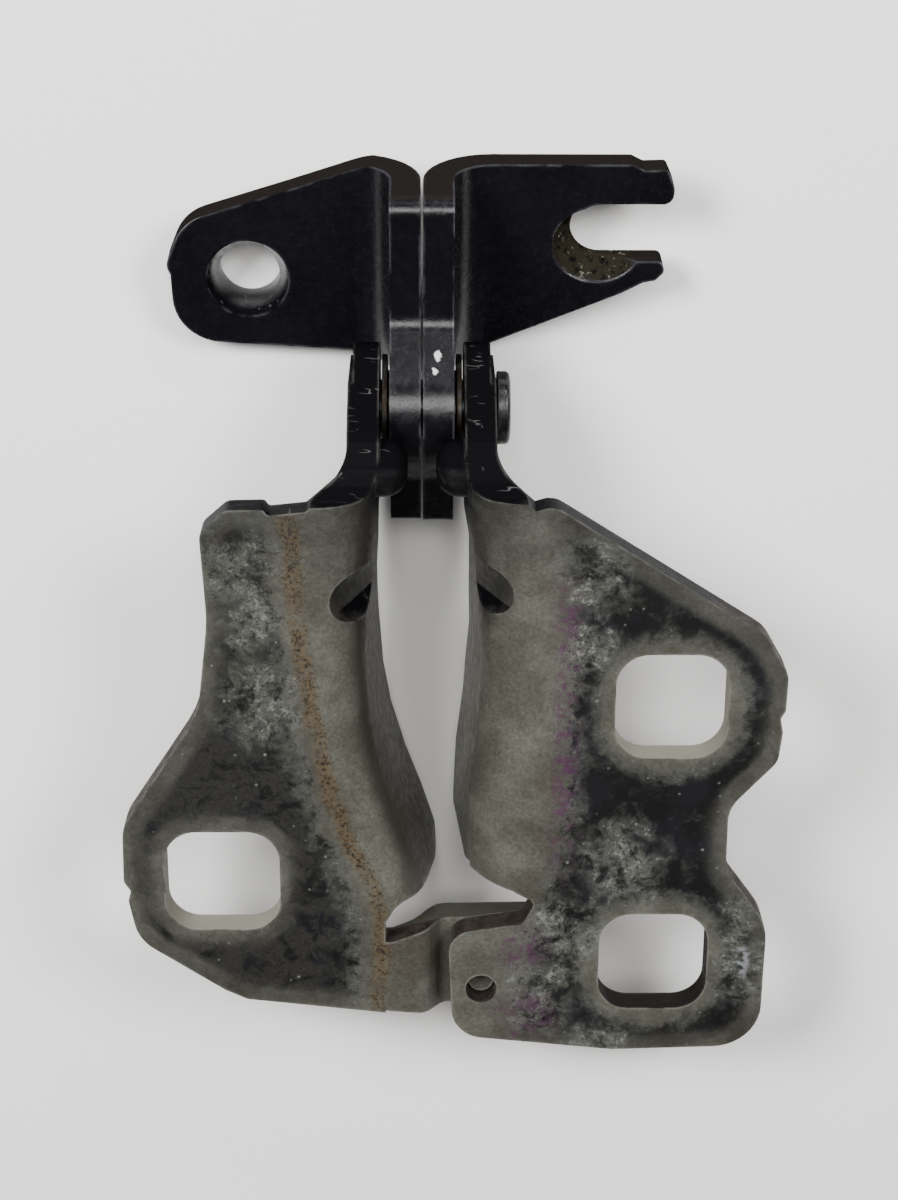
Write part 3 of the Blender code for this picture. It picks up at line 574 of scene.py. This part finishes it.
def dress(node, material, bevel=0.35):
    """Gives a CAD node its material, and rounds its sharp edges by bevel mm."""
    obj = frame["nodes"][node]
    obj.data.materials.clear()
    obj.data.materials.append(material)
    weld = obj.modifiers.new("Weld", "WELD")
    weld.merge_threshold = WELD_GAP
    flat = obj.modifiers.new("Flat faces", "DECIMATE")
    flat.decimate_type = "DISSOLVE"
    flat.angle_limit = FLAT_ANGLE
    edges = obj.modifiers.new("Edges", "BEVEL")
    edges.width = bevel * MM
    edges.segments = 3
    edges.limit_method = "ANGLE"
    edges.angle_limit = EDGE_ANGLE
    edges.use_clamp_overlap = True
    edges.miter_outer = "MITER_ARC"
    normals = obj.modifiers.new("Normals", "WEIGHTED_NORMAL")
    normals.keep_sharp = False
    obj.data.shade_smooth()


def make_floor():
    """A plain pale table top that the hinge lies on."""
    mesh = bpy.data.meshes.new("floor")
    side = FLOOR_SIZE / 2.0
    mesh.from_pydata([(-side, -side, 0), (side, -side, 0), (side, side, 0), (-side, side, 0)],
                     [], [(0, 1, 2, 3)])
    floor = bpy.data.objects.new("floor", mesh)
    bpy.context.scene.collection.objects.link(floor)
    run = REST_FRONT[0] - REST_BACK[0]
    rise = REST_FRONT[1] - REST_BACK[1]
    floor.rotation_euler = (math.atan2(rise, run), 0.0, 0.0)
    floor.location = PIN + Vector((0.0, REST_FRONT[0], REST_FRONT[1])) * MM
    material = bpy.data.materials.new("table_top")
    material.use_nodes = True
    shader = material.node_tree.nodes["Principled BSDF"]
    noise = material.node_tree.nodes.new("ShaderNodeTexNoise")
    noise.inputs["Scale"].default_value = 22.0
    tone = material.node_tree.nodes.new("ShaderNodeMix")
    tone.data_type = "RGBA"
    tone.inputs[6].default_value = (*FLOOR_SHADE, 1.0)
    tone.inputs[7].default_value = (*FLOOR_TINT, 1.0)
    material.node_tree.links.new(noise.outputs[0], tone.inputs["Factor"])
    material.node_tree.links.new(tone.outputs[2], shader.inputs["Base Color"])
    shader.inputs["Roughness"].default_value = 0.55
    shader.inputs["Specular IOR Level"].default_value = 0.25
    mesh.materials.append(material)


def make_light(name, direction, size, power):
    """A soft square light that faces the pin; direction is (x, y, z) from the pin."""
    data = bpy.data.lights.new(name, "AREA")
    data.shape = "SQUARE"
    data.size = size
    data.energy = power
    light = bpy.data.objects.new(name, data)
    bpy.context.scene.collection.objects.link(light)
    away = Vector(direction).normalized()
    light.location = PIN + away * LIGHT_DISTANCE
    light.rotation_mode = "QUATERNION"
    light.rotation_quaternion = away.to_track_quat("Z", "Y")


def make_world():
    """Even, faint light from all round."""
    world = bpy.data.worlds.new("studio")
    world.use_nodes = True
    background = world.node_tree.nodes["Background"]
    background.inputs["Color"].default_value = (*WORLD_COLOUR, 1.0)
    background.inputs["Strength"].default_value = WORLD_STRENGTH
    bpy.context.scene.world = world


def make_camera():
    """Looks down on the mounting faces, tilted towards the lid arms."""
    data = bpy.data.cameras.new("camera")
    data.lens = CAMERA_LENS
    data.sensor_width = 36.0
    data.clip_start = 0.01
    camera = bpy.data.objects.new("camera", data)
    bpy.context.scene.collection.objects.link(camera)
    camera.location = PIN + Vector(CAMERA_PLACE) * MM
    down = Vector((0.0, -math.sin(CAMERA_TILT), -math.cos(CAMERA_TILT)))
    up = Vector((0.0, math.cos(CAMERA_TILT), -math.sin(CAMERA_TILT)))
    across = Vector((1.0, 0.0, 0.0))
    look = down * math.cos(CAMERA_PAN) + across * math.sin(CAMERA_PAN)
    right = across * math.cos(CAMERA_PAN) - down * math.sin(CAMERA_PAN)
    camera.rotation_mode = "QUATERNION"
    camera.rotation_quaternion = Matrix((right, up, -look)).transposed().to_quaternion()
    bpy.context.scene.camera = camera


dress("body_bracket_left", left_bracket_paint())
dress("body_bracket_right", right_bracket_paint())
dress("lid_arm_left", arm_paint("black_left", hole_wear, (*LID_HOLE, 5.8)))
dress("lid_arm_right", arm_paint("black_right", slot_wear_and_glints, None))
dress("pivot_pin", pin_metal(), 0.2)
bronze = bush_metal()
dress("pivot_bush_left", bronze, 0.1)
dress("pivot_bush_right", bronze, 0.1)
make_floor()
make_world()
for light in LIGHTS:
    make_light(*light)
make_camera()
